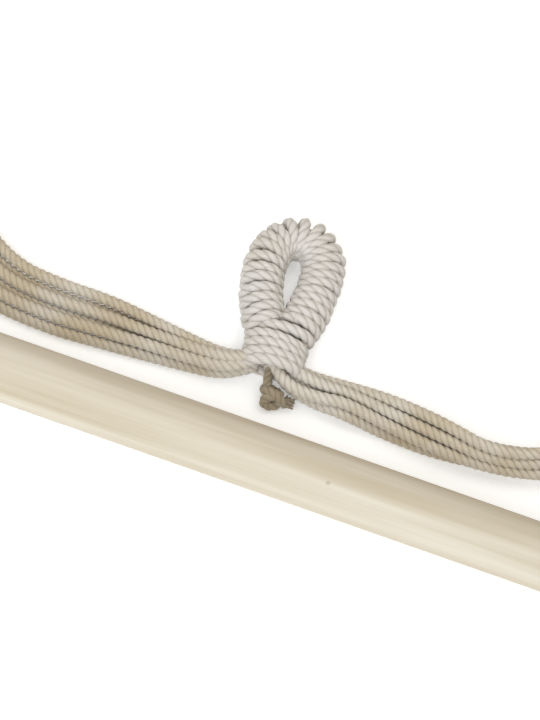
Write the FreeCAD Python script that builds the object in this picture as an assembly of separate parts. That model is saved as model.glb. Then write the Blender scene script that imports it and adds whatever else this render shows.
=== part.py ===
import FreeCAD, Part
import math
import os

# Rope hammock chair laid flat: a round spreader bar along X, the rope suspension with its served hanging
# eye on the +Y side and the rope net seat on the -Y side. Everything rests on z = 0. Millimetres.
# The layout is drawn with the bar's axis over y = 0 and moved at the end, so that the origin is the
# middle of the bottom of the whole object's box.

V = FreeCAD.Vector

# Spreader bar: turned hardwood, with a neck near each end that keeps the ropes in place.
BAR_LENGTH = 1060.0
BAR_R = 17.5
GROOVE_R = 10.7
ARM_GROOVE = (385.0, 434.0)
SEAT_GROOVE = (438.0, 514.0)
EDGE_ROUND = 2.0
END_ROUND = 6.0

# Rope: three-strand cotton.
ROPE_D = 6.5
ROPE_R = ROPE_D / 2
GAP = 0.3
BIGHT_R = GROOVE_R + GAP + ROPE_R
LOW = ROPE_R
HIGH = BAR_R + BIGHT_R

# Suspension: three ropes middled over each groove give six legs, or lanes, on each side of the eye.
ARM_FIRST_X = 392.0
LANE_STEP = 7.5
LANES = 6
STACK = 6.85
# Middle of the six lanes on the right side, from the bar to the eye: x, y, lane spacing, twist in degrees.
RIGHT_ARM = [
    (412, 96, 7.4, 0), (402, 134, 7.2, 0), (376, 166, 7.0, 0), (338, 184, 7.0, 0), (296, 178, 7.0, 0),
    (258, 150, 6.9, 0), (226, 112, 5.6, 0), (190, 78, 4.2, 10), (156, 58, 3.7, 30), (126, 53.5, 3.6, 33),
    (96, 55, 3.9, 8), (66, 56, 3.9, -6), (42, 56.6, 3.6, -20), (18.4, 56, 3.5, -8),
]
# The left side lies open like a fan and closes towards the eye.
LEFT_ARM = [
    (412, 98, 7.4, 0), (404, 138, 7.2, 0), (380, 172, 7.0, 0), (342, 192, 7.0, 0), (298, 188, 7.0, 0),
    (258, 160, 7.0, 0), (226, 118, 7.0, 0), (194, 78, 7.0, 0), (160, 58, 7.0, 0), (128, 54.5, 6.6, 0),
    (98, 55.4, 5.6, 0), (70, 54.8, 4.4, 0), (44, 55.6, 3.5, 0), (22.5, 56, 3.5, 8),
]
# Height and reach of a leg between the groove and the floor.
TOP_LEG = [(20, 29.4), (42, 17.0), (66, 6.0)]
BOTTOM_LEG = [(22, 3.4), (44, 3.25), (68, 3.35)]

# Hanging eye: six squeezed ropes that run up, over and back down inside a served tube, lying beside the bar.
EYE_Z = 12.9
EYE_ROUTE = [
    (-20.6, 96.2), (-25.2, 109.0), (-27.8, 122.5), (-24.8, 135.0), (-15.5, 143.2), (-4.0, 144.0),
    (5.2, 137.4), (8.6, 124.5), (8.0, 110.0), (5.8, 96.2),
]
CORE_ROPE_D = 4.7
CORE_RING = 4.75
SERVING_R = 12.6
SERVING_BORE_R = 7.15

# Neck of the eye: place along Y, middle, half width and half thickness of the seizing.
NECK = [
    (50, -1.5, 12.5, 8.5), (55, -1.5, 15.8, 11.6), (62, -2.5, 16.9, 12.3), (70, -4.0, 17.3, 12.4),
    (79, -4.4, 19.6, 12.5), (87, -5.4, 22.6, 12.5), (94.6, -7.2, 25.6, 12.5),
]
NECK_WALL = 5.4

# Tail of the serving rope: a short stub, its knot and the frayed end.
TAIL = [V(-2.5, 49.6, 8.4), V(-1.6, 46.6, 7.2), V(0.4, 44.4, 6.4)]
TAIL_KNOT = V(2.6, 40.6, 6.3)
TAIL_KNOT_R = 6.1
TAIL_FRAY_LENGTH = 9.0

# Seat net: ten legs from five endless ropes, on nested half ellipses, tied at STATIONS stations.
SEAT_ROPES = 5
SEAT_LEGS = 2 * SEAT_ROPES
SEAT_FIRST_X = 442.0
SEAT_START_Y = 86.0
SEAT_DEPTH = 290.0
SEAT_DEPTH_STEP = 46.0
STATIONS = 15
SEAT_Z = 4.45
TIE_PITCH = ROPE_D + 0.35
TIE_HALF = 11.0
BAND_WIDTH = 9.0
BAND_WALL = 0.9
BAND_CLEAR = 0.3


def lathe_bar():
    half = BAR_LENGTH / 2
    profile = [V(-half, 0, 0), V(-half, 0, BAR_R)]
    grooves = [(-SEAT_GROOVE[1], -SEAT_GROOVE[0]), (-ARM_GROOVE[1], -ARM_GROOVE[0]), ARM_GROOVE, SEAT_GROOVE]
    for start, end in grooves:
        profile += [V(start, 0, BAR_R), V(start + 1, 0, GROOVE_R), V(end - 1, 0, GROOVE_R), V(end, 0, BAR_R)]
    profile += [V(half, 0, BAR_R), V(half, 0, 0)]
    face = Part.Face(Part.makePolygon(profile + profile[:1]))
    bar = face.revolve(V(0, 0, 0), V(1, 0, 0), 360)
    ends = [e for e in bar.Edges if abs(abs(e.CenterOfMass.x) - half) < 0.1 and e.Length > 10]
    bar = bar.makeFillet(END_ROUND, ends)
    crests = [e for e in bar.Edges if abs(e.Length - 2 * math.pi * BAR_R) < 0.1 and abs(e.CenterOfMass.x) < 520]
    bar = bar.makeFillet(EDGE_ROUND - 0.3, crests)
    bar.translate(V(0, 0, BAR_R))
    return bar


def rounded_path(points, closed=False):
    """Straight runs joined by tangent arcs, each as large as its two runs allow."""
    count = len(points)
    corners = range(count) if closed else range(1, count - 1)
    arcs = []
    for i in corners:
        before = points[i - 1] - points[i]
        after = points[(i + 1) % count] - points[i]
        half_turn = (math.pi - before.getAngle(after)) / 2
        reach = 0.45 * min(before.Length, after.Length)
        radius = reach / math.tan(half_turn)
        inward = (before.normalize() + after.normalize()).normalize()
        middle = points[i] + inward * (radius / math.cos(half_turn) - radius)
        arcs.append((points[i] + before * reach, middle, points[i] + after * reach, radius))
    last = arcs[-1][2] if closed else points[0]
    edges = []
    for start, middle, end, radius in arcs:
        edges.append(Part.LineSegment(last, start).toShape())
        edges.append(Part.Arc(start, middle, end).toShape())
        last = end
    if not closed:
        edges.append(Part.LineSegment(last, points[-1]).toShape())
    return Part.Wire(edges), min(arc[3] for arc in arcs)


def sweep_rope(name, points, closed=False):
    path, radius = rounded_path(points, closed)
    first = path.Edges[0]
    start = first.valueAt(first.FirstParameter)
    section = Part.Wire([Part.Circle(start, first.tangentAt(first.FirstParameter), ROPE_R).toShape()])
    rope = path.makePipeShell([section], True, False)
    fill = rope.Volume / (math.pi * ROPE_R ** 2 * path.Length)
    print(f"{name}: length {path.Length:.0f}, least radius {radius:.1f}, volume ratio {fill:.4f}")
    return rope


def half_turn(x_from, x_to, side):
    """The bight round the bar's groove, from its low leg to its high leg: five points."""
    reach = BIGHT_R / math.cos(math.radians(30))
    points = [V(x_from, side * 6.0, LOW)]
    for step, angle in enumerate((-60, 0, 60)):
        x = x_from + (x_to - x_from) * (step + 1) / 4
        lift = math.sin(math.radians(angle)) * reach
        points.append(V(x, -side * math.cos(math.radians(angle)) * reach, BAR_R + lift))
    points.append(V(x_to, side * 6.0, HIGH - 0.3))
    return points


def lane_points(arm, side, lane):
    """One leg of an arm: its place in the flat row or the two-layer stack at every station."""
    points = []
    for i, (x, y, step, twist) in enumerate(arm):
        x0, y0 = arm[max(i - 1, 0)][:2]
        x1, y1 = arm[min(i + 1, len(arm) - 1)][:2]
        length = math.hypot(x1 - x0, y1 - y0)
        across = ((y0 - y1) / length, (x1 - x0) / length)
        layer = math.sqrt(max(STACK ** 2 - step ** 2, 0))
        turn = math.radians(twist)
        rows = [((n - (LANES - 1) / 2) * step, (n % 2 - 0.5) * layer) for n in range(LANES)]
        lowest = min(u * math.sin(turn) + v * math.cos(turn) for u, v in rows)
        u, v = rows[lane]
        flat = -(u * math.cos(turn) - v * math.sin(turn))
        z = u * math.sin(turn) + v * math.cos(turn) - lowest + LOW
        points.append(V(side * (x + across[0] * flat), y + across[1] * flat, z))
    return points


def suspension_rope(arm, side, number):
    low_x = ARM_FIRST_X + 2 * number * LANE_STEP
    high_x = low_x + LANE_STEP
    low_leg = [V(side * low_x, y, z) for y, z in BOTTOM_LEG]
    high_leg = [V(side * high_x, y, z) for y, z in TOP_LEG]
    low_lane = lane_points(arm, side, 2 * number)
    high_lane = lane_points(arm, side, 2 * number + 1)
    bight = half_turn(side * low_x, side * high_x, 1)
    return low_lane[::-1] + low_leg[::-1] + bight + high_leg + high_lane


def sweep_eye(radius, offset=0.0, angle=0.0):
    """A rod along the eye's route; offset and angle place it beside the middle line."""
    path, least = rounded_path([V(x, y, EYE_Z) for x, y in EYE_ROUTE])
    first = path.Edges[0]
    start = first.valueAt(first.FirstParameter)
    tangent = first.tangentAt(first.FirstParameter)
    outward = tangent.cross(V(0, 0, 1)).normalize()
    turn = math.radians(angle)
    centre = start + outward * offset * math.cos(turn) + V(0, 0, offset * math.sin(turn))
    section = Part.Wire([Part.Circle(centre, tangent, radius).toShape()])
    return path.makePipeShell([section], True, False)


def neck_loft(wall):
    sections = []
    for y, middle, half_width, half_height in NECK:
        wire = Part.Wire([Part.Ellipse(V(0, 0, 0), half_width - wall, half_height - wall).toShape()])
        wire.rotate(V(0, 0, 0), V(1, 0, 0), 90)
        wire.translate(V(middle, y, EYE_Z))
        sections.append(wire)
    return Part.makeLoft(sections, True)


def make_tail():
    path, radius = rounded_path(TAIL)
    first = path.Edges[0]
    section = Part.Wire([Part.Circle(TAIL[0], first.tangentAt(first.FirstParameter), ROPE_R).toShape()])
    stub = path.makePipeShell([section], True, False)
    knot = Part.makeSphere(TAIL_KNOT_R, TAIL_KNOT)
    stub = stub.cut(knot)
    start = TAIL_KNOT + V(4.5, 1.0, -1.0)
    fray = Part.makeCone(ROPE_R - 0.6, ROPE_R + 1.6, TAIL_FRAY_LENGTH, start, V(1.0, 0.25, 0))
    fray = fray.cut(knot)
    return stub, knot, fray


def seat_curve(leg, t):
    """Point and direction of a leg's half ellipse; leg may lie between two whole numbers."""
    a = SEAT_FIRST_X + LANE_STEP * leg
    b = SEAT_DEPTH + SEAT_DEPTH_STEP * leg
    point = V(a * math.cos(t), -SEAT_START_Y - b * math.sin(t), SEAT_Z)
    heading = V(-a * math.sin(t), -b * math.cos(t), 0).normalize()
    return point, heading


def tie_middle(leg, station):
    """Middle line, heading and side of the tie that holds a leg at a station; side 0 means no neighbour."""
    t = math.pi * station / (STATIONS + 1)
    side = 1 if (leg + station) % 2 == 0 else -1
    if not 0 <= leg + side < SEAT_LEGS:
        return seat_curve(leg - 0.12 * side, t) + (0,)
    return seat_curve(leg + side / 2, t) + (side,)


def seat_leg(leg):
    points = []
    for station in range(1, STATIONS + 1):
        middle, heading, side = tie_middle(leg, station)
        inward = V(heading.y, -heading.x, 0) * (side * TIE_PITCH / 2)
        points.append(middle + inward - heading * TIE_HALF)
        points.append(middle + inward + heading * TIE_HALF)
    return points


def seat_rope(number):
    """An endless rope: out along one leg, round the far groove, back along the next leg."""
    low, high = 2 * number, 2 * number + 1
    low_x = SEAT_FIRST_X + LANE_STEP * low
    high_x = low_x + LANE_STEP
    low_end = [(24, 3.3), (48, 3.8)]
    high_end = [(20, 29.4), (40, 19.0), (62, 8.0)]
    points = [V(low_x, -y, z) for y, z in low_end]
    points += seat_leg(low)
    points += [V(-low_x, -y, z) for y, z in low_end[::-1]]
    points += half_turn(-low_x, -high_x, -1)
    points += [V(-high_x, -y, z) for y, z in high_end]
    points += seat_leg(high)[::-1]
    points += [V(high_x, -y, z) for y, z in high_end[::-1]]
    points += half_turn(low_x, high_x, -1)[::-1]
    return points


def racetrack(half_gap, radius):
    """A flat loop round two ropes, in the plane across them."""
    left, right = V(-half_gap, 0, 0), V(half_gap, 0, 0)
    up = V(0, 0, radius)
    over = Part.LineSegment(left + up, right + up).toShape()
    under = Part.LineSegment(right - up, left - up).toShape()
    right_end = Part.Arc(right + up, right + V(radius, 0, 0), right - up).toShape()
    left_end = Part.Arc(left - up, left - V(radius, 0, 0), left + up).toShape()
    return Part.Face(Part.Wire([over, right_end, under, left_end]))


def seat_bands():
    inner = ROPE_R + BAND_CLEAR
    face = racetrack(TIE_PITCH / 2, inner + BAND_WALL).cut(racetrack(TIE_PITCH / 2, inner))
    band = face.extrude(V(0, BAND_WIDTH, 0))
    band.translate(V(0, -BAND_WIDTH / 2, 0))
    bands = []
    for leg in range(SEAT_LEGS - 1):
        for station in range(1, STATIONS + 1):
            middle, heading, side = tie_middle(leg, station)
            if side == 1:
                placed = band.copy()
                placed.rotate(V(0, 0, 0), V(0, 0, 1), math.degrees(math.atan2(heading.y, heading.x)) - 90)
                placed.translate(middle)
                bands.append(placed)
    return Part.makeCompound(bands)


parts = {"spreader_bar": lathe_bar()}
for side, word, arm in ((-1, "left", LEFT_ARM), (1, "right", RIGHT_ARM)):
    for number in range(LANES // 2):
        name = f"suspension_rope_{word}_{number + 1}"
        parts[name] = sweep_rope(name, suspension_rope(arm, side, number))

eye_rod = sweep_eye(SERVING_R)
core = [sweep_eye(CORE_ROPE_D / 2)]
core += [sweep_eye(CORE_ROPE_D / 2, CORE_RING, 90 + 72 * strand) for strand in range(5)]
neck_bundle = neck_loft(NECK_WALL).cut(eye_rod)
neck_seizing = neck_loft(0).cut(neck_loft(NECK_WALL)).cut(eye_rod)
tail_rope, tail_knot, tail_fray = make_tail()
parts["eye_core_ropes"] = Part.makeCompound(core)
parts["eye_serving"] = eye_rod.cut(sweep_eye(SERVING_BORE_R))
parts["neck_rope_bundle"] = neck_bundle
parts["neck_seizing"] = neck_seizing
parts["tail_rope"] = tail_rope.cut(neck_seizing).cut(neck_bundle)
parts["tail_knot"] = tail_knot
parts["tail_fray"] = tail_fray

for number in range(SEAT_ROPES):
    name = f"seat_rope_{number + 1}"
    parts[name] = sweep_rope(name, seat_rope(number), closed=True)
parts["seat_seizings"] = seat_bands()

box = Part.makeCompound(list(parts.values())).optimalBoundingBox()
shift = V(-(box.XMin + box.XMax) / 2, -(box.YMin + box.YMax) / 2, -box.ZMin)
print("moved by", shift, "size", box.XLength, box.YLength, box.ZLength)
os.makedirs("parts", exist_ok=True)
for name, shape in parts.items():
    shape.translate(shift)
    print(name, "solids", len(shape.Solids), "valid", shape.isValid(), "volume", round(shape.Volume))
    shape.exportStep(f"parts/{name}.step")
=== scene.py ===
import math

import bmesh
import bpy
import numpy as np
from mathutils import Matrix, Vector


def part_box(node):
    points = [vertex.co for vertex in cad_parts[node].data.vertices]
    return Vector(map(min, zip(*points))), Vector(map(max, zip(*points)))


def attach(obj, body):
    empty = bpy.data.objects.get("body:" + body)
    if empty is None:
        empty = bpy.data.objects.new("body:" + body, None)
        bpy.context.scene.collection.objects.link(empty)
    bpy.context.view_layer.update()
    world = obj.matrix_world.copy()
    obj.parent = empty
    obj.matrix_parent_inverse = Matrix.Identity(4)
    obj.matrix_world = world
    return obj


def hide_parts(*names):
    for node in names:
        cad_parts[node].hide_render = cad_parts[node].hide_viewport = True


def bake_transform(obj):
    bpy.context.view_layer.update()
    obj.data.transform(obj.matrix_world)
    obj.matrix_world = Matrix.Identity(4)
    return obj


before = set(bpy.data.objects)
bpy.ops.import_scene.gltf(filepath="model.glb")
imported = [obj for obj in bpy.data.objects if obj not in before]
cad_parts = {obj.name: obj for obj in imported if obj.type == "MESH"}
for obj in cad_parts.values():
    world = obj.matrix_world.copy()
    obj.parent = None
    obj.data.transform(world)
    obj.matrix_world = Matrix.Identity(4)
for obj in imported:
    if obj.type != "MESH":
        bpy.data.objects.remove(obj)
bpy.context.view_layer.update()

# Camera: a long lens looks down at the bar's middle and the hanging eye from the seat's side. It is held
# tilted, so that the bar runs down to the right. Places are millimetres from the middle of the bar's foot.
bar_low, bar_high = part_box("spreader_bar")
bar_y = (bar_low[1] + bar_high[1]) / 2


def place(x, y, z):
    return Vector((x / 1000, bar_y + y / 1000, z / 1000))


camera_distance = 0.9
camera_height = math.radians(60)
camera_roll = math.radians(19.3)
camera_lens = 109.2
film_width = 36
camera_target = place(-4.6, 62.7, 10)
ahead = Vector((0, math.cos(camera_height), -math.sin(camera_height)))
level = Vector((1, 0, 0))
upward = level.cross(ahead)
camera_right = level * math.cos(camera_roll) + upward * math.sin(camera_roll)
camera_up = upward * math.cos(camera_roll) - level * math.sin(camera_roll)
camera_data = bpy.data.cameras.new("Camera")
camera_data.sensor_fit = "HORIZONTAL"
camera_data.sensor_width = film_width
camera_data.lens = camera_lens
camera = bpy.data.objects.new("Camera", camera_data)
bpy.context.collection.objects.link(camera)
camera.matrix_world = Matrix((camera_right, camera_up, -ahead)).transposed().to_4x4()
camera.matrix_world.translation = camera_target - ahead * camera_distance
bpy.context.scene.camera = camera


# Rope: natural cotton in three right-hand laid strands, spun soft, so the strands crown and the yarns show as
# fine lines. Clean cotton is an off-white, and down in the lay it is painted greyer and browner: painted shade,
# with some dust. Every rope of the chair is laid by lay_rope along a line from follow.
COLOUR_A, COLOUR_B, MIXED = 6, 7, 2  # a Mix node's colour sockets, whose names its number sockets share


def linear(code):
    """The linear colour of an sRGB hex value."""
    parts = [int(code[i:i + 2], 16) / 255 for i in (1, 3, 5)]
    return [c / 12.92 if c <= 0.04045 else ((c + 0.055) / 1.055) ** 2.4 for c in parts] + [1.0]


def add_node(tree, kind, settings=(), links=()):
    """A node with its properties or input values set and its inputs linked."""
    node = tree.nodes.new(kind)
    for name, value in dict(settings).items():
        if isinstance(name, str) and hasattr(node, name):
            setattr(node, name, value)
        else:
            node.inputs[name].default_value = value
    for name, socket in dict(links).items():
        tree.links.new(socket, node.inputs[name])
    return node


def laid_cotton(name, clean, soiled, hollow_shade):
    """Cotton rope: soft matt fibres with a little sheen, yarn lines along the rope and hollows painted darker,
    as painted shade with some dust.
    """
    material = bpy.data.materials.new(name)
    material.use_nodes = True
    tree = material.node_tree
    shader = tree.nodes["Principled BSDF"]
    shader.inputs["Roughness"].default_value = 0.88
    shader.inputs["Sheen Weight"].default_value = 0.25
    shader.inputs["Sheen Roughness"].default_value = 0.6
    shader.inputs["Specular IOR Level"].default_value = 0.25
    place_on = add_node(tree, "ShaderNodeTexCoord")
    along = add_node(tree, "ShaderNodeUVMap", {"uv_map": "yarn"})
    # The depth in the lay, which masks the painted shade in the hollows.
    depth = add_node(tree, "ShaderNodeAttribute", {"attribute_name": "hollow_shade"})
    # Soil: blotches about 26 mm apart, heavier from 20 mm out to 100 mm to either side of the eye.
    blotch = add_node(tree, "ShaderNodeTexNoise", {"Scale": 38.0, "Detail": 3.0},
                      {"Vector": place_on.outputs["Object"]})
    where = add_node(tree, "ShaderNodeSeparateXYZ", (), {"Vector": place_on.outputs["Object"]})
    away = add_node(tree, "ShaderNodeMath", {"operation": "ABSOLUTE"}, {0: where.outputs["X"]})
    far = add_node(tree, "ShaderNodeMapRange",
                   {"From Min": 0.02, "From Max": 0.1, "To Min": -0.12, "To Max": 0.16},
                   {"Value": away.outputs["Value"]})
    worn = add_node(tree, "ShaderNodeMath", {"operation": "ADD"},
                    {0: blotch.outputs["Fac"], 1: far.outputs["Result"]})
    soil = add_node(tree, "ShaderNodeMapRange", {"From Min": 0.35, "From Max": 0.75},
                    {"Value": worn.outputs["Value"]})
    body = add_node(tree, "ShaderNodeMix", {"data_type": "RGBA"}, {"Factor": soil.outputs["Result"]})
    body.inputs[COLOUR_A].default_value = linear(clean)
    body.inputs[COLOUR_B].default_value = linear(soiled)
    # Yarns: about 0.9 mm apart round a 6.5 mm rope; the UV map counts millimetres along and turns round.
    yarn_scale = add_node(tree, "ShaderNodeMapping", {"Scale": (0.28, 23.0, 1.0)},
                          {"Vector": along.outputs["UV"]})
    yarn = add_node(tree, "ShaderNodeTexNoise", {"Scale": 1.0, "Detail": 2.0, "Roughness": 0.6},
                    {"Vector": yarn_scale.outputs["Vector"]})
    # Fibres: single cotton fibres are too fine to show, so the fuzz is drawn about 0.7 mm coarse.
    fibre = add_node(tree, "ShaderNodeTexNoise", {"Scale": 1500.0, "Detail": 2.0},
                     {"Vector": place_on.outputs["Object"]})
    yarn_shade = add_node(tree, "ShaderNodeMapRange",
                          {"From Min": 0.3, "From Max": 0.7, "To Min": 0.0, "To Max": 0.22},
                          {"Value": yarn.outputs["Fac"]})
    lined = add_node(tree, "ShaderNodeMix", {"data_type": "RGBA"}, {"Factor": yarn_shade.outputs["Result"]})
    lined.inputs[COLOUR_B].default_value = linear(hollow_shade)
    tree.links.new(body.outputs[MIXED], lined.inputs[COLOUR_A])
    # Hollows: the lay between two strands is painted darker, as painted shade with some dust.
    deep = add_node(tree, "ShaderNodeMapRange", {"From Min": 0.35, "From Max": 1.0, "To Max": 0.4},
                    {"Value": depth.outputs["Fac"]})
    shaded = add_node(tree, "ShaderNodeMix", {"data_type": "RGBA"}, {"Factor": deep.outputs["Result"]})
    shaded.inputs[COLOUR_B].default_value = linear(hollow_shade)
    tree.links.new(lined.outputs[MIXED], shaded.inputs[COLOUR_A])
    tree.links.new(shaded.outputs[MIXED], shader.inputs["Base Color"])
    yarn_bump = add_node(tree, "ShaderNodeBump", {"Strength": 0.55, "Distance": 0.0005},
                         {"Height": yarn.outputs["Fac"]})
    fibre_bump = add_node(tree, "ShaderNodeBump", {"Strength": 0.25, "Distance": 0.0002},
                          {"Height": fibre.outputs["Fac"], "Normal": yarn_bump.outputs["Normal"]})
    tree.links.new(fibre_bump.outputs["Normal"], shader.inputs["Normal"])
    return material


def follow(name, points, closed=False):
    """The smooth line that a rope takes past its points, read from one spline."""
    data = bpy.data.curves.new(name, "CURVE")
    data.dimensions = "3D"
    spline = data.splines.new("NURBS")
    spline.points.add(len(points) - 1)
    for point, where in zip(spline.points, points):
        point.co = (*where, 1)
    spline.order_u = 3
    spline.use_cyclic_u = closed
    spline.use_endpoint_u = not closed
    spline.resolution_u = 12
    guide = bpy.data.objects.new(name, data)
    bpy.context.collection.objects.link(guide)
    bpy.context.view_layer.update()
    mesh = bpy.data.meshes.new_from_object(guide)
    line = np.array([v.co for v in mesh.vertices])
    bpy.data.objects.remove(guide)
    bpy.data.meshes.remove(mesh)
    bpy.data.curves.remove(data)
    return np.vstack([line, line[:1]]) if closed else line


def resample(line, step):
    """The same line with points a step apart, and how far along each one is."""
    run = np.concatenate([[0], np.cumsum(np.linalg.norm(np.diff(line, axis=0), axis=1))])
    count = max(int(round(run[-1] / step)), 2)
    along = np.linspace(0, run[-1], count + 1)
    return np.column_stack([np.interp(along, run, line[:, k]) for k in range(3)]), along


def lay_rope(name, line, diameter, material, lead=12.6, step=0.0011, lobe=7, closed=False, fill=0.4):
    """Three strands laid together along a line, as one skin whose rings turn with the lay.

    lead is the length in millimetres of one full turn of a strand, step the metres between rings, lobe the
    corners that a ring has for each strand, and fill how far the hollows between strands are filled.
    """
    centres, along = resample(line, step)
    ahead = np.gradient(centres, axis=0)
    ahead /= np.linalg.norm(ahead, axis=1)[:, None]
    side = np.zeros_like(ahead)
    side[0] = np.cross(ahead[0], [0.0, 0.0, 1.0] if abs(ahead[0][2]) < 0.9 else [1.0, 0.0, 0.0])
    side[0] /= np.linalg.norm(side[0])
    for i in range(1, len(ahead)):
        side[i] = side[i - 1] - ahead[i] * np.dot(side[i - 1], ahead[i])
        side[i] /= np.linalg.norm(side[i])
    other = np.cross(ahead, side)
    # Section: three round strands, pressed together until their middles stand off by less than a radius.
    stand_off = 0.72
    count = 3 * lobe
    angle = np.arange(count) / count * 2 * math.pi + math.pi / 3
    local = (angle + math.pi / 3) % (2 * math.pi / 3) - math.pi / 3
    strand = diameter / 2 / (1 + stand_off)
    offset = diameter / 2 - strand
    radius = offset * np.cos(local) + np.sqrt(np.maximum(strand ** 2 - (offset * np.sin(local)) ** 2, 0))
    # How deep each corner lies in the lay, 1 in the hollows and 0 on the crowns; the material paints shade by
    # it.
    hollow_shade = 1 - (radius - radius.min()) / (radius.max() - radius.min())
    radius = radius + fill * (radius.max() - radius)
    turns = along / (lead / 1000)
    if closed:
        # A whole number of turns, and the frame's own twist taken out, so that the strands meet themselves.
        turns *= round(turns[-1]) / turns[-1]
        shut = side[-1] @ side[0], side[-1] @ other[0]
        turns = turns - math.atan2(shut[1], shut[0]) / (2 * math.pi) * along / along[-1]
        centres, side, other, along, turns = (a[:-1] for a in (centres, side, other, along, turns))
    theta = angle[None, :] + 2 * math.pi * turns[:, None]
    verts = (centres[:, None, :] + radius[None, :, None] * (np.cos(theta)[:, :, None] * side[:, None, :]
             + np.sin(theta)[:, :, None] * other[:, None, :])).reshape(-1, 3)
    rings = len(centres)
    last = rings if closed else rings - 1
    i, j = np.meshgrid(np.arange(last), np.arange(count), indexing="ij")
    after = (i + 1) % rings
    beside = (j + 1) % count
    faces = np.stack([i * count + j, i * count + beside, after * count + beside, after * count + j], -1)
    quads = faces.reshape(-1, 4)
    corners, sizes = quads.ravel(), np.full(len(quads), 4)
    if not closed:
        first = np.arange(count)
        corners = np.concatenate([corners, first[::-1], first + (rings - 1) * count])
        sizes = np.append(sizes, [count, count])
    mesh = bpy.data.meshes.new(name)
    mesh.vertices.add(len(verts))
    mesh.vertices.foreach_set("co", verts.ravel())
    mesh.loops.add(len(corners))
    mesh.loops.foreach_set("vertex_index", corners)
    mesh.polygons.add(len(sizes))
    mesh.polygons.foreach_set("loop_start", np.cumsum(sizes) - sizes)
    mesh.polygons.foreach_set("loop_total", sizes)
    mesh.update(calc_edges=True)
    # The depth in the lay is kept on the mesh, for the material's painted shade in the hollows.
    depths = mesh.attributes.new("hollow_shade", "FLOAT", "POINT")
    depths.data.foreach_set("value", np.tile(hollow_shade, rings).astype("f"))
    # UV map: millimetres along the rope, and turns round it, counted with the strands.
    uv = mesh.uv_layers.new(name="yarn")
    span = np.append(along, along[-1] + step) * 1000
    turn = np.append(turns, turns[-1] + step * 1000 / lead)
    round_at = angle / (2 * math.pi)
    wide = np.where(j == count - 1, 1.0, round_at[beside])
    corner = np.stack([
        np.stack([span[i], round_at[j] + turn[i]], -1), np.stack([span[i], wide + turn[i]], -1),
        np.stack([span[i + 1], wide + turn[i + 1]], -1), np.stack([span[i + 1], round_at[j] + turn[i + 1]], -1),
    ], 2).reshape(-1, 2)
    coords = np.zeros((len(mesh.loops), 2))
    coords[:len(corner)] = corner
    uv.data.foreach_set("uv", coords.ravel())
    mesh.polygons.foreach_set("use_smooth", [True] * len(mesh.polygons))
    mesh.update()
    mesh.materials.append(material)
    rope = bpy.data.objects.new(name, mesh)
    bpy.context.collection.objects.link(rope)
    return rope


# Suspension ropes: on each side three ropes are middled over the bar's groove, and their six legs run to the
# eye. They lie slack: a flat row by the bar, then on the left a fan that closes, on the right a loose twist.
# Millimetres, as place takes them.
rope_diameter = 6.5
plump_diameter = 7.0  # over the strands' crowns, where a leg lies slack
arm_cotton = laid_cotton("three-strand cotton rope, handled", "#D8D1C6", "#C3B59C", "#7D6E55")
groove_radius = 10.7
groove_gap = 0.3
bight_radius = groove_radius + groove_gap + rope_diameter / 2
bight_entry = 6.0  # where a rope starts to wrap the bar, off the bar's middle
bar_radius = 17.5
first_suspension_groove = 392.0
lane_step = 7.5  # between neighbouring legs in the grooves
leg_gap = 6.85  # between neighbouring legs' middles, where they lie bundled
low = rope_diameter / 2
high = bar_radius + bight_radius
# One row for a place on an arm: x and y of its middle, the sideways step from leg to leg, and the twist.
right_arm = [
    (412, 96, 7.4, 0), (402, 134, 7.2, 0), (376, 166, 7.0, 0), (338, 184, 7.0, 0), (296, 178, 7.0, 0),
    (258, 150, 6.9, 0), (226, 112, 5.6, 4), (190, 77, 4.0, 24), (156, 56, 3.2, 50), (126, 49.2, 2.8, 64),
    (96, 50.6, 3.7, 38), (66, 54.6, 3.6, 12), (42, 56.6, 3.6, -20), (18.4, 56, 3.5, -8),
]
left_arm = [
    (412, 98, 7.4, 0), (404, 138, 7.2, 0), (380, 172, 7.0, 0), (342, 192, 7.0, 0), (298, 188, 7.0, 0),
    (258, 160, 7.0, 0), (226, 117, 6.4, 0), (194, 77, 5.9, 0), (160, 55.8, 5.5, 0), (128, 52.4, 5.3, 0),
    (98, 53.6, 5.0, 0), (70, 52.6, 3.7, 0), (44, 55.6, 3.5, 0), (22.5, 56, 3.5, 8),
]
# How a leg comes down from the bar's top, and leaves from below the bar: y and z.
top_leg = [(20, 29.4), (42, 17.0), (66, 6.0)]
bottom_leg = [(22, 3.4), (44, 3.25), (68, 3.35)]


def half_turn(x_from, x_to, side):
    """A rope's way round the bar, from below it to over it, with its guide points out past the curve."""
    reach = bight_radius / math.cos(math.radians(30))
    points = [place(x_from, side * bight_entry, low)]
    for step, angle in enumerate((-60, 0, 60)):
        x = x_from + (x_to - x_from) * (step + 1) / 4
        lift = math.sin(math.radians(angle)) * reach
        points.append(place(x, -side * math.cos(math.radians(angle)) * reach, bar_radius + lift))
    points.append(place(x_to, side * bight_entry, high - groove_gap))
    return points


def lane(arm, side, number):
    """One leg's way along an arm: the six lie in a zigzag row that turns with the arm's twist."""
    points = []
    for i, (x, y, step, twist) in enumerate(arm):
        x0, y0 = arm[max(i - 1, 0)][:2]
        x1, y1 = arm[min(i + 1, len(arm) - 1)][:2]
        length = math.hypot(x1 - x0, y1 - y0)
        across = ((y0 - y1) / length, (x1 - x0) / length)
        layer = math.sqrt(max(leg_gap ** 2 - step ** 2, 0))
        turn = math.radians(twist)
        rows = [((n - 2.5) * step, (n % 2 - 0.5) * layer) for n in range(6)]
        lowest = min(u * math.sin(turn) + v * math.cos(turn) for u, v in rows)
        u, v = rows[number]
        flat = -(u * math.cos(turn) - v * math.sin(turn))
        z = u * math.sin(turn) + v * math.cos(turn) - lowest + low
        points.append(place(side * (x + across[0] * flat), y + across[1] * flat, z))
    return points


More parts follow.
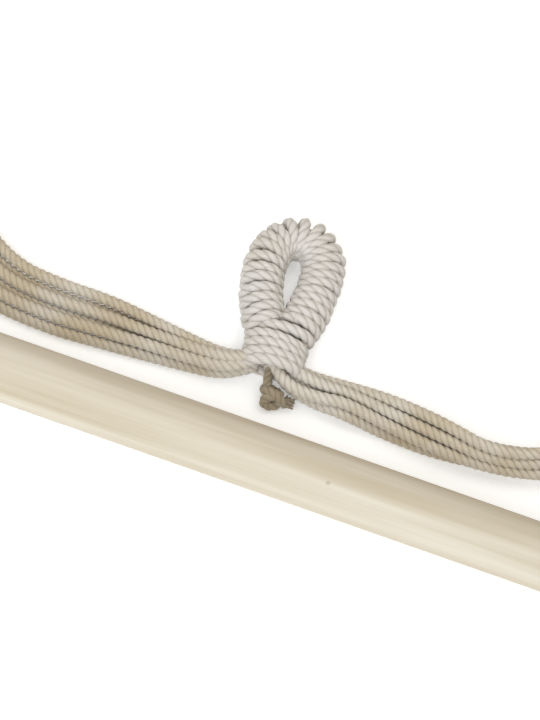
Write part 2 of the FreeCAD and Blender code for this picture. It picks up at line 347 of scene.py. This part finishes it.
# The last stretch of each leg into the neck: x, then the y and z of the six legs.
left_approach = [
    (44, (45.6, 3.6), (47.4, 9.6), (52.0, 3.5), (53.2, 11.4), (58.0, 4.4), (58.0, 9.4)),
    (30, (46.6, 5.2), (47.8, 11.4), (53.0, 4.6), (53.0, 13.4), (57.6, 6.2), (56.6, 10.4)),
    (20, (49.6, 8.4), (50.6, 13.6), (54.4, 6.2), (54.8, 15.2), (58.6, 8.0), (58.0, 12.2)),
    (11, (56.5, 9.0), (57.0, 14.2), (59.6, 7.4), (59.6, 15.8), (62.4, 9.0), (62.2, 13.4)),
]
right_approach = [
    (42, (47.2, 8.0), (51.6, 12.6), (53.9, 5.8), (59.2, 10.2), (60.6, 3.6), (64.2, 7.8)),
    (28, (48.2, 5.8), (49.4, 12.2), (54.2, 6.2), (57.5, 11.8), (60.2, 4.4), (62.6, 8.4)),
    (17, (50.0, 5.8), (48.8, 12.4), (55.0, 8.2), (57.6, 13.6), (60.2, 5.4), (61.8, 9.4)),
    (8, (52.8, 7.4), (50.4, 13.6), (57.6, 10.6), (59.0, 15.2), (61.2, 7.0), (63.2, 11.4)),
    (1, (58.0, 8.6), (55.6, 14.6), (61.0, 12.0), (62.0, 16.2), (63.0, 8.4), (65.0, 12.4)),
    (-3, (61.0, 9.0), (60.0, 14.8), (65.0, 12.4), (65.5, 15.8), (66.5, 9.0), (68.5, 12.6)),
]


arms = ((-1, "left", left_arm, left_approach), (1, "right", right_arm, right_approach))
for side, word, arm, approach in arms:
    for number in range(3):
        low_x = first_suspension_groove + 2 * number * lane_step
        high_x = low_x + lane_step
        low_lane, high_lane = (
            lane(arm, side, leg)[:-2] + [place(side * row[0], *row[leg + 1]) for row in approach]
            for leg in (2 * number, 2 * number + 1)
        )
        route = low_lane[::-1]
        route += [place(side * low_x, y, z) for y, z in bottom_leg[::-1]]
        route += half_turn(side * low_x, side * high_x, 1)
        route += [place(side * high_x, y, z) for y, z in top_leg]
        route += high_lane
        line = follow(f"route {word} {number + 1}", route)
        name = f"suspension_rope_{word}_{number + 1}"
        rope = lay_rope(f"rope_of_suspension_{word}_{number + 1}", line, plump_diameter / 1000, arm_cotton)
        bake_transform(rope)
        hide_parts(name)

# Hanging eye: the same rope wound round the six ropes, turn beside turn, up the left leg, over the top and
# down the right leg. Turns crowd at the inside of the bend and stand apart like knuckles at the outside.
serving_cotton = laid_cotton("three-strand cotton rope, clean", "#D8D3CD", "#CDC5B8", "#746650")
wound_lay = {"lead": 18, "step": 0.0009, "fill": 0.42}  # pulled tight: a longer lay with shallower hollows
# One row for a place on the winding: turn, middle x and y, half width, and which way its outer side faces.
winding = [
    (-1.5, -12.5, 77.5, 8.0, 214), (0, -16.4, 85.6, 9.6, 210), (1, -18.6, 91.2, 9.7, 196),
    (2, -20.8, 97.2, 9.7, 192), (3, -22.7, 103.8, 9.7, 187), (4, -24.0, 109.4, 9.7, 183),
    (5, -24.9, 116.5, 9.7, 176), (6, -24.9, 124.0, 9.7, 162), (7, -23.6, 129.6, 9.7, 150),
    (8, -21.6, 134.6, 9.7, 135), (9, -18.0, 139.2, 9.8, 112), (10, -12.2, 142.8, 9.9, 91),
    (11, -5.5, 143.2, 9.9, 71), (12, -0.7, 140.6, 9.9, 52), (13, 3.7, 136.8, 9.9, 37),
    (14, 6.2, 131.7, 9.9, 27), (15, 7.5, 125.9, 9.8, 20), (16, 8.0, 120.3, 9.8, 14),
    (17, 8.0, 115.0, 9.7, 8), (18, 7.8, 109.2, 9.7, 3), (19, 7.4, 103.8, 9.7, -3),
    (20, 6.9, 98.6, 9.8, -8), (21, 6.1, 92.9, 9.9, -9), (22, 4.8, 87.4, 9.9, -10),
    (22.5, 3.4, 84.4, 9.8, -9), (23, 1.8, 81.2, 11.0, -6), (23.5, -3.6, 76.0, 16.2, -4),
    (24, -4.2, 72.8, 15.7, -4), (25, -3.9, 67.6, 14.9, -2), (26, -3.3, 62.4, 15.2, 2),
    (27, -2.7, 57.4, 14.8, 4), (27.6, -2.4, 54.4, 13.6, 4),
]
wound_height = 12.9  # of the core's middle over the floor
wound_reach = 9.6  # from the core's middle up to the turning rope's
turn_points = 40


def wound_line(start, end):
    """The winding's line between two turns, with the rows eased into each other over one turn."""
    rows = np.array(winding, dtype=float)
    turn = np.linspace(rows[0, 0], rows[-1, 0], int((rows[-1, 0] - rows[0, 0]) * turn_points))
    kernel = np.hanning(turn_points + 1)
    tables = []
    for column in range(1, 5):
        values = np.interp(turn, rows[:, 0], rows[:, column])
        padded = np.pad(values, turn_points // 2, mode="reflect", reflect_type="odd")
        tables.append(np.convolve(padded, kernel / kernel.sum(), "valid"))
    x, y, half, facing = tables
    keep = (turn >= start) & (turn <= end)
    phase = 2 * math.pi * turn
    uneven = 0.25 * np.sin(turn * 2.3) + 0.15 * np.sin(turn * 5.1)
    facing = np.radians(facing)
    reach = half * np.cos(phase)
    line = np.column_stack([
        x + reach * np.cos(facing) + uneven * 0.5, y + reach * np.sin(facing) + uneven,
        wound_height + wound_reach * np.sin(phase),
    ])[keep]
    return np.array([place(*point) for point in line])


eye_wraps = wound_line(-1.5, 22.3)
serving = lay_rope("rope_round_eye", eye_wraps, rope_diameter / 1000, serving_cotton, **wound_lay)
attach(serving, "eye")
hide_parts("eye_serving")

# Neck seizing: the serving rope runs on round both legs together, sloping down to the right, and pulls them
# into a waist above the suspension ropes.
neck_wraps = wound_line(22.25, 27.58)
seizing = lay_rope("rope_round_neck", neck_wraps, rope_diameter / 1000, serving_cotton, **wound_lay)
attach(seizing, "eye")
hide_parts("neck_seizing")

# Neck bundle: the twelve legs of the same handled rope run up side by side inside the wraps, squeezed thin,
# and close the neck from below. They spread again towards the eye's two sides.
squeezed_diameter = 5.8
neck_middle = -2.6
neck_leg_step = 4.2
neck_legs = []
for row, height in enumerate((8.8, 15.4)):
    for column in range(6):
        off_middle = column - 2.5
        x = neck_middle + off_middle * neck_leg_step
        splay = 1 + 0.02 * (column + 2 * row)
        leg_line = follow("neck leg", [
            place(x * 0.9, 57.6 + abs(off_middle) * 0.6, height),
            place(x * splay, 62, height),
            place(x * splay, 70, height),
            place(-4 + (x + 3) * 1.25, 80, height),
            place(-5 + (x + 3) * 1.5, 90, height),
        ])
        neck_legs.append(lay_rope(f"neck_leg_{row}_{column}", leg_line, squeezed_diameter / 1000, arm_cotton,
                                  step=0.0016, lobe=5))
joined = bmesh.new()
for leg in neck_legs:
    joined.from_mesh(leg.data)
joined.to_mesh(neck_legs[0].data)
joined.free()
for leg in neck_legs[1:]:
    bpy.data.objects.remove(leg)
neck_legs[0].name = "legs_in_neck"
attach(neck_legs[0], "eye")
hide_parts("neck_rope_bundle")

# Core: the six ropes that pass on round the eye, of the same handled cotton. The winding squeezes them and
# all but hides them.
core = bpy.data.objects["eye_core_ropes"]
core.data.materials.clear()
core.data.materials.append(arm_cotton)

# Tail: the serving rope's end leaves under the neck as a short stub. Its cotton is painted darker and browner
# all over, as painted shadow under the neck.
tail_cotton_in_painted_shadow = laid_cotton("three-strand cotton rope, end painted in shadow", "#A89A82", "#8E8068", "#5A4E3C")
tail_lay = {"lead": 11.0, "step": 0.0008}
stub_diameter = 5.6
stub_line = follow("tail stub", [place(*p) for p in (
    (-3, 60, 9), (-2.6, 54, 7.4), (-1.4, 49, 6.6), (1, 45, 6),
)])
stub = lay_rope("rope_end", stub_line, stub_diameter / 1000, tail_cotton_in_painted_shadow, **tail_lay)
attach(stub, "eye")
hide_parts("tail_rope")

# Tail knot: one overhand knot pulled up close below the stub, which keeps the strands from opening further.
knot_diameter = 5.8
knot_line = follow("tail knot", [place(*p) for p in (
    (0.5, 48.4, 6.2), (4.6, 46.8, 4.2), (8.2, 43.4, 3.6), (5.6, 39.6, 3.4), (0.2, 38.4, 3.8),
    (-0.8, 40.6, 6.6), (3.4, 42.4, 9.4), (7.4, 45.4, 7.4), (3.2, 48.6, 4.0), (-2.4, 48.2, 4.0),
    (-2.0, 45.0, 7.4), (3.2, 44.0, 10.4), (8.4, 41.4, 7.4), (9.6, 42.6, 5.4),
)])
knot = lay_rope("rope_end_knot", knot_line, knot_diameter / 1000, tail_cotton_in_painted_shadow, **tail_lay)
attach(knot, "eye")
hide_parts("tail_knot")

# Tail fray: past the knot the strands have come open into loose yarns of the same cotton, painted dark as
# shadow, which fan out to the right.
yarn_count = 26
yarn_diameter = 1.3
golden_step = 2.4  # radians from yarn to yarn, so that they fill the round evenly
yarns = bmesh.new()
for number in range(yarn_count):
    angle = number * golden_step
    bent = angle + 0.3
    spread = 0.6 + 2.1 * math.sqrt((number + 0.5) / yarn_count)
    reach = 11.8 + 2.6 * math.sin(number * 1.7)
    yarn_line = follow("yarn", [
        place(4.0, 42.4 + 0.5 * math.cos(angle), 5.4 + 0.4 * math.sin(angle)),
        place(7.6, 42.6 + 0.6 * spread * math.cos(angle), 5.8 + 0.5 * spread * math.sin(angle)),
        place(10.6, 43.2 + spread * math.cos(angle), 5.2 + 0.7 * spread * math.sin(angle)),
        place(reach + 1.5, 44.2 + 1.5 * spread * math.cos(bent), 4.6 + 0.9 * spread * math.sin(bent)),
    ])
    yarn = lay_rope(f"yarn_{number}", yarn_line, yarn_diameter / 1000, tail_cotton_in_painted_shadow,
                    lead=4.0, step=0.0005, lobe=3)
    yarns.from_mesh(yarn.data)
    if number < yarn_count - 1:
        bpy.data.objects.remove(yarn)
yarns.to_mesh(yarn.data)
yarns.free()
yarn.name = "rope_end_fray"
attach(yarn, "eye")
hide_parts("tail_fray")

# Seat net: five endless ropes of the same cotton run from groove to groove and back, and make ten legs that
# hang as nested half ellipses. Neighbours are tied together alternately, so the net opens in diamonds.
leg_count = 10
stations = 15  # places along each leg where it meets a neighbour
tie_gap = 0.35  # between two tied legs
tie_pitch = rope_diameter + tie_gap
tied_length = 22  # over which two legs lie side by side
first_seat_groove = 442.0
inner_drop = 290.0  # of the innermost half ellipse
drop_step = 46.0
net_start = 86.0  # where the half ellipses begin, in front of the bar
net_height = 4.45


def seat_curve(leg, t):
    """Place and heading on a leg's half ellipse; halves between two legs are where they are tied."""
    a = first_seat_groove + lane_step * leg
    b = inner_drop + drop_step * leg
    heading = Vector((-a * math.sin(t), -b * math.cos(t), 0)).normalized()
    return Vector((a * math.cos(t), -net_start - b * math.sin(t), net_height)), heading


def tie_middle(leg, station):
    """Place and heading of a leg's tie at a station, and the side that its partner is on, or 0 for none."""
    t = math.pi * station / (stations + 1)
    side = 1 if (leg + station) % 2 == 0 else -1
    if not 0 <= leg + side < leg_count:
        return seat_curve(leg - 0.12 * side, t) + (0,)
    return seat_curve(leg + side / 2, t) + (side,)


def seat_leg(leg):
    """Guide points of a leg: two at each station, so that it runs straight through the tie."""
    points = []
    for station in range(1, stations + 1):
        middle, heading, side = tie_middle(leg, station)
        inward = Vector((heading.y, -heading.x, 0)) * (side * tie_pitch / 2)
        half_tied = heading * (tied_length / 2)
        points += [place(*(middle + inward - half_tied)), place(*(middle + inward + half_tied))]
    return points


# How a leg leaves from below the bar, and comes down from the bar's top: y and z.
low_end = [(24, 3.3), (48, 3.8)]
high_end = [(20, 29.4), (40, 19.0), (62, 8.0)]
for number in range(leg_count // 2):
    low_x = first_seat_groove + lane_step * 2 * number
    high_x = low_x + lane_step
    route = [place(low_x, -y, z) for y, z in low_end]
    route += seat_leg(2 * number)
    route += [place(-low_x, -y, z) for y, z in low_end[::-1]]
    route += half_turn(-low_x, -high_x, -1)
    route += [place(-high_x, -y, z) for y, z in high_end]
    route += seat_leg(2 * number + 1)[::-1]
    route += [place(high_x, -y, z) for y, z in high_end[::-1]]
    route += half_turn(low_x, high_x, -1)[::-1]
    line = follow(f"seat route {number + 1}", route, closed=True)
    rope = lay_rope(f"rope_of_seat_{number + 1}", line, rope_diameter / 1000, arm_cotton,
                    step=0.0018, lobe=5, closed=True)
    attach(rope, "seat")
    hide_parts(f"seat_rope_{number + 1}")

# Ties: each is a few turns of waxed cotton twine pulled tight round two neighbouring legs. Wax makes the
# twine a little smoother than the rope. One tie is made and put in every place.
twine = bpy.data.materials.new("waxed cotton twine")
twine.use_nodes = True
twine_shader = twine.node_tree.nodes["Principled BSDF"]
twine_shader.inputs["Base Color"].default_value = linear("#D6CBB6")
twine_shader.inputs["Roughness"].default_value = 0.7
twine_noise = add_node(twine.node_tree, "ShaderNodeTexNoise", {"Scale": 900.0, "Detail": 2.0})
twine_bump = add_node(twine.node_tree, "ShaderNodeBump", {"Strength": 0.4, "Distance": 0.0003},
                      {"Height": twine_noise.outputs["Fac"]})
twine.node_tree.links.new(twine_bump.outputs["Normal"], twine_shader.inputs["Normal"])
twine_turns = 5
twine_diameter = 1.7
turns = bmesh.new()
for turn in range(twine_turns):
    ring = bmesh.ops.create_circle(turns, segments=6, radius=twine_diameter / 2000)["verts"]
    along = (turn - (twine_turns - 1) / 2) * twine_diameter / 1000
    bmesh.ops.translate(turns, verts=ring, vec=((rope_diameter / 2 + tie_gap) / 1000, along, 0))
    edges = list({e for v in ring for e in v.link_edges})
    bmesh.ops.spin(turns, geom=ring + edges, cent=(0, along, 0), axis=(0, 1, 0), dvec=(0, 0, 0),
                   angle=2 * math.pi, steps=20, use_merge=True, use_duplicate=False)
for v in turns.verts:  # each ring is pulled out sideways, to go round two legs
    v.co.x += math.copysign(tie_pitch / 2000, v.co.x)
bmesh.ops.recalc_face_normals(turns, faces=turns.faces)
one_tie = bpy.data.meshes.new("one tie")
turns.to_mesh(one_tie)
turns.free()
ties = bmesh.new()
for leg in range(leg_count - 1):
    for station in range(1, stations + 1):
        middle, heading, side = tie_middle(leg, station)
        if side == 1:
            ties.from_mesh(one_tie)
            across = Vector((heading.y, -heading.x, 0))
            put = Matrix((across, heading, Vector((0, 0, 1)))).transposed().to_4x4()
            put.translation = place(*middle)
            bmesh.ops.transform(ties, matrix=put, verts=ties.verts[-len(one_tie.vertices):])
for face in ties.faces:
    face.smooth = True
ties_mesh = bpy.data.meshes.new("seat_ties")
ties.to_mesh(ties_mesh)
ties.free()
ties_mesh.materials.append(twine)
ties_piece = bpy.data.objects.new("seat_ties", ties_mesh)
bpy.context.collection.objects.link(ties_piece)
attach(ties_piece, "seat")
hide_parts("seat_seizings")

# Spreader bar: a turned and sanded maple dowel with no finish on it. Its grain is faint and straight along
# the bar, streaks about 9 mm across and 250 mm long, with fine pores and one pin knot.
wood = bpy.data.materials.new("sanded unfinished maple")
wood.use_nodes = True
wood_tree = wood.node_tree
wood_shader = wood_tree.nodes["Principled BSDF"]
wood_shader.inputs["Roughness"].default_value = 0.55
wood_shader.inputs["Specular IOR Level"].default_value = 0.35
wood_at = add_node(wood_tree, "ShaderNodeTexCoord")
wood_long = add_node(wood_tree, "ShaderNodeMapping", {"Scale": (4.0, 110.0, 110.0)},
                     {"Vector": wood_at.outputs["Object"]})
wood_grain = add_node(wood_tree, "ShaderNodeTexNoise", {"Scale": 1.0, "Detail": 4.0, "Roughness": 0.55},
                      {"Vector": wood_long.outputs["Vector"]})
wood_tint = add_node(wood_tree, "ShaderNodeValToRGB", (), {"Fac": wood_grain.outputs["Fac"]})
wood_tint.color_ramp.elements[0].position = 0.3
wood_tint.color_ramp.elements[0].color = linear("#B4A68D")
wood_tint.color_ramp.elements[1].position = 0.7
wood_tint.color_ramp.elements[1].color = linear("#CDC4B3")
pin_knot = add_node(wood_tree, "ShaderNodeVectorMath", {"operation": "DISTANCE"},
                    {0: wood_at.outputs["Object"]})
pin_knot.inputs[1].default_value = place(44.6, -8.2, 32.8)
knot_dark = add_node(wood_tree, "ShaderNodeMapRange",
                     {"From Min": 0.0002, "From Max": 0.0016, "To Min": 0.45, "To Max": 0.0},
                     {"Value": pin_knot.outputs["Value"]})
knotted = add_node(wood_tree, "ShaderNodeMix", {"data_type": "RGBA"}, {"Factor": knot_dark.outputs["Result"]})
knotted.inputs[COLOUR_B].default_value = linear("#7E6B50")
wood_tree.links.new(wood_tint.outputs["Color"], knotted.inputs[COLOUR_A])
wood_tree.links.new(knotted.outputs[MIXED], wood_shader.inputs["Base Color"])
wood_pores = add_node(wood_tree, "ShaderNodeMapping", {"Scale": (60.0, 900.0, 900.0)},
                      {"Vector": wood_at.outputs["Object"]})
wood_fine = add_node(wood_tree, "ShaderNodeTexNoise", {"Scale": 1.0, "Detail": 2.0},
                     {"Vector": wood_pores.outputs["Vector"]})
wood_bump = add_node(wood_tree, "ShaderNodeBump", {"Strength": 0.12, "Distance": 0.0003},
                     {"Height": wood_fine.outputs["Fac"]})
wood_tree.links.new(wood_bump.outputs["Normal"], wood_shader.inputs["Normal"])
bar = bpy.data.objects["spreader_bar"]
bar.data.materials.clear()
bar.data.materials.append(wood)

# Floor: a matt white table top, far wider than the view. It glows a little, so that it stays near white
# under the ropes, and lies a hair below them.
floor_size = 200
floor_drop = 0.0002
bpy.ops.mesh.primitive_plane_add(size=floor_size, location=(0, 0, -floor_drop))
floor = bpy.context.object
floor.name = "Floor"
floor_paint = bpy.data.materials.new("white table")
floor_paint.use_nodes = True
floor_shader = floor_paint.node_tree.nodes["Principled BSDF"]
floor_shader.inputs["Base Color"].default_value = (0.9, 0.9, 0.9, 1)
floor_shader.inputs["Roughness"].default_value = 0.9
floor_shader.inputs["Emission Color"].default_value = (0.97, 0.985, 1, 1)
floor_shader.inputs["Emission Strength"].default_value = 0.27
floor.data.materials.append(floor_paint)

# Light: an even white room, which the camera sees brighter than it shines, a cool soft light from the seat's
# side, a bluer one low down that reaches the undersides, and a warm one overhead behind the eye.
world = bpy.data.worlds.new("Studio")
bpy.context.scene.world = world
world.use_nodes = True
background = world.node_tree.nodes["Background"]
background.inputs["Color"].default_value = (1, 0.985, 0.95, 1)
ray = add_node(world.node_tree, "ShaderNodeLightPath")
glow = add_node(world.node_tree, "ShaderNodeMapRange", {"To Min": 0.55, "To Max": 1.0},
                {"Value": ray.outputs["Is Camera Ray"]})
world.node_tree.links.new(glow.outputs["Result"], background.inputs["Strength"])
# One row for a light: its name, its place in metres from the bar's middle, size, watts and colour.
lights = (
    ("Front softbox", (-0.4, -1.35, 1.35), 1.2, 22, (0.9, 0.95, 1.0)),
    ("Low fill", (-0.3, -1.7, 0.42), 0.8, 7, (0.72, 0.86, 1.0)),
    ("Top softbox", (0.3, 0.6, 2.1), 1.8, 16, (1.0, 0.95, 0.87)),
)
for name, where, size, power, tint in lights:
    light_data = bpy.data.lights.new(name, "AREA")
    light_data.color = tint
    light_data.size = size
    light_data.energy = power
    light = bpy.data.objects.new(name, light_data)
    light.location = Vector((where[0], bar_y + where[1], where[2]))
    light.rotation_euler = (camera_target - light.location).to_track_quat("-Z", "Y").to_euler()
    bpy.context.collection.objects.link(light)
bpy.context.scene.view_settings.view_transform = "Standard"
